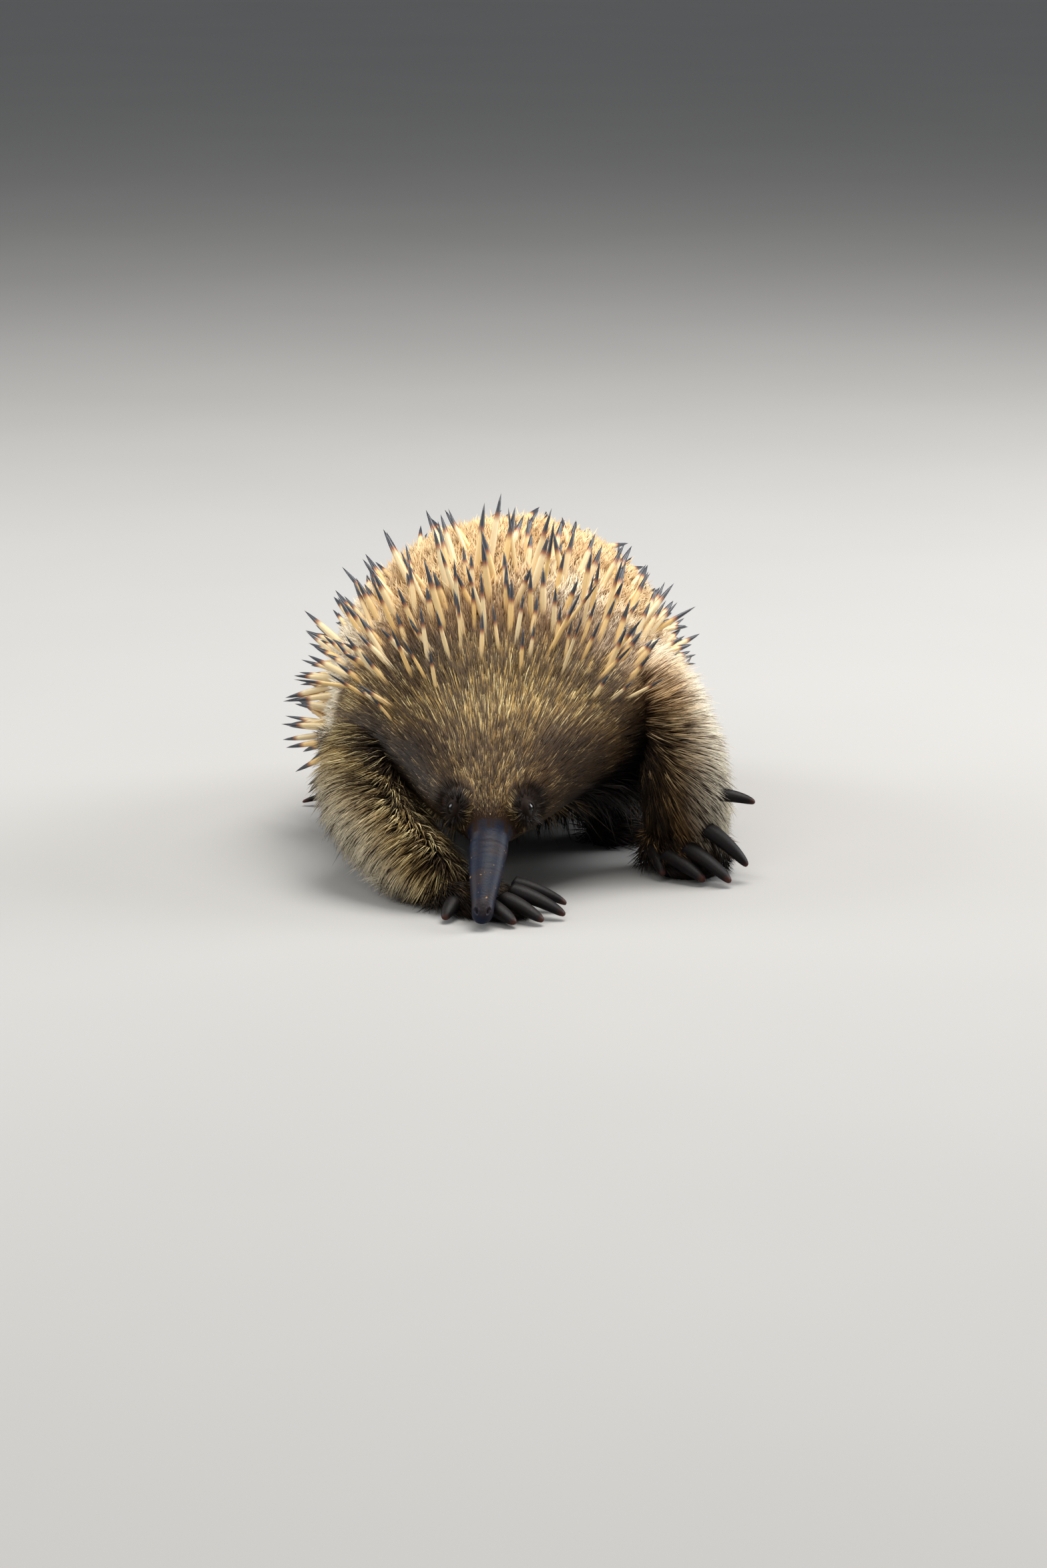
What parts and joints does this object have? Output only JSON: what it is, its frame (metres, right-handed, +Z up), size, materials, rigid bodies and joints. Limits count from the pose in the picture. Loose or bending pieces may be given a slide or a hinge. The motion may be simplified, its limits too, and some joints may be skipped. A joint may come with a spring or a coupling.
{
  "type": "echidna",
  "caption": "Short-beaked echidna, life size, walking with its head low, with woolly fur, spines and digging claws.",
  "frame": {"origin": "on the floor under the middle of the animal's bounding box", "axes": "+Z up; the bill points to -Y and the tail to +Y; +X is the animal's left side"},
  "size_m": [0.2211, 0.3496, 0.1541],
  "materials": {
    "bill_skin": "bare dark skin, slightly moist at the nostrils",
    "head_fur": "coarse straight ochre and dark brown hair",
    "back_fur": "woolly tan hair with cream, black-tipped spines",
    "leg_fur": "dark brown hair with pale tips",
    "claw_horn": "dark worn horn",
    "eye_wet": "wet black eye"
  },
  "bodies": {
    "root": {"bill": "bill_skin", "eye_left": "eye_wet", "eye_right": "eye_wet", "fore_claw_left_1": "claw_horn", "fore_claw_left_2": "claw_horn", "fore_claw_left_3": "claw_horn", "fore_claw_left_4": "claw_horn", "fore_claw_left_5": "claw_horn", "fore_claw_right_1": "claw_horn", "fore_claw_right_2": "claw_horn", "fore_claw_right_3": "claw_horn", "fore_claw_right_4": "claw_horn", "fore_claw_right_5": "claw_horn", "fore_foot_left": "leg_fur", "fore_foot_right": "leg_fur", "fore_leg_left": "leg_fur", "fore_leg_right": "leg_fur", "head": "head_fur", "hind_claw_left_1": "claw_horn", "hind_claw_left_2": "claw_horn", "hind_claw_left_3": "claw_horn", "hind_claw_left_4": "claw_horn", "hind_claw_left_5": "claw_horn", "hind_claw_right_1": "claw_horn", "hind_claw_right_2": "claw_horn", "hind_claw_right_3": "claw_horn", "hind_claw_right_4": "claw_horn", "hind_claw_right_5": "claw_horn", "hind_foot_left": "leg_fur", "hind_foot_right": "leg_fur", "hind_leg_left": "leg_fur", "hind_leg_right": "leg_fur", "neck": "back_fur", "rump": "back_fur", "tail": "back_fur", "trunk": "back_fur"}
  },
  "joints": []
}
